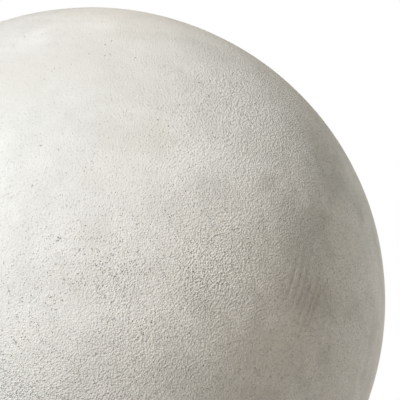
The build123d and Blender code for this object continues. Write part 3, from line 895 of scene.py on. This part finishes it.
def moulded(name, tone, roughness, texture, depth):
    """Moulded plastic: an even spark-eroded texture and a slight mottle."""
    r = Recipe(name)
    fine, mottle = r.cloud(texture, 1.5), r.cloud(0.015, 3)
    deeper = tuple(0.86 * part for part in tone)
    colour = r.mix(r.span(mottle, 0.35, 0.65), deeper, tone)
    rough = r.span(fine, 0.3, 0.7, roughness - 0.05, roughness + 0.07)
    return r.finish(colour, rough, r.bump(fine, depth))


def opal(name):
    """Satin opal acrylic, which lets light through and scatters it."""
    r = Recipe(name)
    haze, satin = r.cloud(0.04, 3), r.cloud(0.0008, 1)
    r.set(Subsurface_Weight=0.35, Subsurface_Scale=0.004)
    colour = r.mix(r.span(haze, 0.3, 0.7), (0.80, 0.79, 0.755), (0.86, 0.85, 0.82))
    return r.finish(colour, r.span(satin, 0.3, 0.7, 0.34, 0.46), r.bump(satin, 0.00001))


# Each slot's recipe, and the values that it takes after the material's name.
MATERIALS = {
    "skim_plaster": (skim_plaster,),
    "cast_stone": (cast_stone,),
    "mortar": (mortar,),
    "base_coat": (powder_coat,),
    "opal": (opal,),
    "ring_steel": (turned_metal, (0.63, 0.63, 0.62), (0.50, 0.50, 0.49), 0.34, 0.0006),
    "brass": (turned_metal, (0.74, 0.57, 0.28), (0.55, 0.40, 0.17), 0.32, 0.0004),
    "bare_aluminium": (turned_metal, (0.74, 0.74, 0.75), (0.60, 0.60, 0.61), 0.42, 0.0006),
    "screw_steel": (turned_metal, (0.62, 0.61, 0.60), (0.45, 0.45, 0.44), 0.30, 0.0003),
    "black_rubber": (rubber, (0.022, 0.022, 0.022)),
    "seal_rubber": (rubber, (0.10, 0.10, 0.10)),
    "strip_white": (moulded, (0.78, 0.78, 0.75), 0.45, 0.0006, 0.00004),
    "led_yellow": (moulded, (0.80, 0.60, 0.12), 0.30, 0.0006, 0.00004),
    "driver_case": (moulded, (0.055, 0.058, 0.062), 0.50, 0.0009, 0.00008),
    "terminal_plastic": (moulded, (0.70, 0.70, 0.66), 0.42, 0.0006, 0.00004),
    "lead_sheath": (moulded, (0.030, 0.030, 0.031), 0.48, 0.0006, 0.00004),
    "vent_plastic": (moulded, (0.035, 0.035, 0.036), 0.50, 0.0006, 0.00004),
}


def slot_of_nodes():
    """Which material slot each CAD node has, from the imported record."""
    return {part["node"]: part["material_slot"] for part in frame["record"]["subparts"]}


def dress_nodes():
    """Gives every CAD node the material of its slot."""
    made = {slot: recipe(slot, *values) for slot, (recipe, *values) in MATERIALS.items()}
    for name, slot in slot_of_nodes().items():
        slots = frame["nodes"][name].data.materials
        slots.clear()
        slots.append(made[slot])
    return made


# ---------------------------------------------------------------- camera, lights and floor
LENS, SENSOR = 300.0, 36.0  # millimetres
SEEN_WIDTH = 0.3400  # width of the picture where the ball's centre is
AIM = Vector((0.092, 0.0, BALL_CENTRE[2] + 0.086))  # the picture's middle

# Azimuth and elevation in degrees, distance and width in metres, power in watts, colour.
LIGHTS = {
    "key": (-42, 33, 2.4, 0.45, 59.6, (0.88, 0.94, 1.0)),
    "low_right": (130, -8, 1.05, 0.35, 4.2, (1.0, 0.955, 0.90)),
    "top_right": (90, 50, 1.7, 0.7, 6.9, (0.87, 0.97, 1.0)),
    "top_back": (180, 50, 1.7, 0.7, 6.6, (1.0, 0.76, 0.55)),
    "front": (20, 25, 1.7, 0.8, 5.2, (1.0, 0.80, 0.57)),
}


SKY_SEEN, SKY_LIGHT = 1.0, 0.01  # how bright the surround is to the camera, and as a light
SKY_TINT = (1.0, 0.97, 0.90)
FLOOR_RADIUS, FLOOR_FADE = 1.9, 1.1  # the floor's edge, and where it starts to fade
FLOOR_SIDES = 96
FLOOR_TONE = (0.62, 0.62, 0.61)


def make_camera():
    """A long lens, level with the ball, so that its upper right fills the picture."""
    data = bpy.data.cameras.new("camera")
    data.lens, data.sensor_width = LENS, SENSOR
    camera = bpy.data.objects.new("camera", data)
    bpy.context.scene.collection.objects.link(camera)
    camera.location = AIM - Vector((0, SEEN_WIDTH * LENS / SENSOR, 0))
    camera.rotation_euler = (math.pi / 2, 0, 0)
    bpy.context.scene.camera = camera


def make_lights():
    """Soft boxes round the ball, each aimed at its centre."""
    centre = Vector(BALL_CENTRE)
    for name, (azimuth, elevation, distance, width, power, colour) in LIGHTS.items():
        data = bpy.data.lights.new(name, "AREA")
        data.shape, data.size, data.energy, data.color = "DISK", width, power, colour
        lamp = bpy.data.objects.new(name, data)
        bpy.context.scene.collection.objects.link(lamp)
        towards = Vector(around(azimuth, elevation))
        lamp.location = centre + towards * distance
        lamp.rotation_mode = "QUATERNION"
        lamp.rotation_quaternion = (-towards).to_track_quat("-Z", "Y")


def make_sky():
    """A white surround, which lights the scene less than it shows to the camera."""
    world = bpy.data.worlds.new("sky")
    bpy.context.scene.world = world
    world.use_nodes = True
    tree = world.node_tree
    path = tree.nodes.new("ShaderNodeLightPath")
    mix = tree.nodes.new("ShaderNodeMixShader")
    lit, seen = tree.nodes["Background"], tree.nodes.new("ShaderNodeBackground")
    lit.inputs["Color"].default_value = (*SKY_TINT, 1)
    lit.inputs["Strength"].default_value = SKY_LIGHT
    seen.inputs["Color"].default_value = (1, 1, 1, 1)
    seen.inputs["Strength"].default_value = SKY_SEEN
    tree.links.new(path.outputs["Is Camera Ray"], mix.inputs["Fac"])
    tree.links.new(lit.outputs[0], mix.inputs[1])
    tree.links.new(seen.outputs[0], mix.inputs[2])
    tree.links.new(mix.outputs[0], tree.nodes["World Output"].inputs["Surface"])


def make_floor():
    """A plain pale floor, which fades into the white surround."""
    turns = np.arange(FLOOR_SIDES) * 2 * math.pi / FLOOR_SIDES
    points = np.column_stack((np.cos(turns), np.sin(turns), np.zeros(FLOOR_SIDES))) * FLOOR_RADIUS
    mesh = bpy.data.meshes.new("floor")
    mesh.from_pydata(points.tolist(), [], [list(range(FLOOR_SIDES))])
    floor = bpy.data.objects.new("floor", mesh)
    bpy.context.scene.collection.objects.link(floor)
    r = Recipe("floor")
    length = r.node("ShaderNodeVectorMath", operation="LENGTH")
    r.join(r.place(), length.inputs[0])
    fade = r.span(length.outputs["Value"], FLOOR_FADE, FLOOR_RADIUS)
    clear, mix = r.node("ShaderNodeBsdfTransparent"), r.node("ShaderNodeMixShader")
    output = r.tree.nodes["Material Output"]
    r.join(fade, mix.inputs["Fac"])
    r.join(r.shader.outputs[0], mix.inputs[1])
    r.join(clear.outputs[0], mix.inputs[2])
    r.join(mix.outputs[0], output.inputs["Surface"])
    r.set(Base_Color=FLOOR_TONE, Roughness=0.9)
    mesh.materials.append(r.material)


materials = dress_nodes()
skin = make_skin()
skin.data.materials.append(materials["skim_plaster"])
make_camera()
make_lights()
make_sky()
make_floor()
bpy.context.scene.view_settings.view_transform = "Standard"
